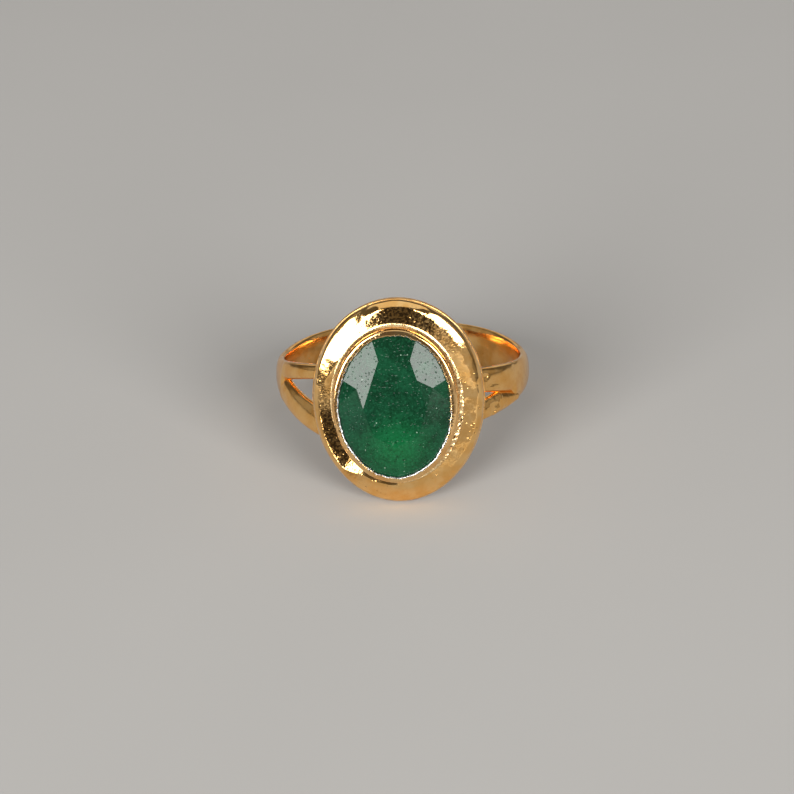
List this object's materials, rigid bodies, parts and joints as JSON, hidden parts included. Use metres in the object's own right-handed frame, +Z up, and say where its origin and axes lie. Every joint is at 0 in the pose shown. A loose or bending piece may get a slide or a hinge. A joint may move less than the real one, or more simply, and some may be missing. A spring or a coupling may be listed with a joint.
{
  "type": "cocktail ring",
  "caption": "Gold-tone cocktail ring: a large dark green oval faceted stone in a burnished bezel, a half-round collar on an arched base plate, and a thin fork-shouldered hoop.",
  "frame": {"origin": "on the table under the middle of the ring's bounding box, with the ring in the pose it rests in", "axes": "+Z up from the table, X across the ring, the stone faces -Y and up; the finger hole's axis is tipped 17.6 degrees from +Z towards +Y"},
  "size_m": [0.0188, 0.0216, 0.0147],
  "materials": {
    "gold_shank": "worn polish",
    "gold_head": "worn polish with fine pits",
    "gold_bezel": "burnished, worn to silver at the lip",
    "solder": "rough and pitted",
    "green_stone": "polished facets, cloudy inside"
  },
  "bodies": {
    "root": {"shank_hoop": "gold_shank", "lower_arm_left": "gold_shank", "lower_arm_right": "gold_shank", "base_plate": "gold_head", "collar": "gold_head", "bezel_wall": "gold_bezel", "bezel_seat": "gold_bezel", "solder_seam": "solder", "stone": "green_stone"}
  },
  "joints": []
}
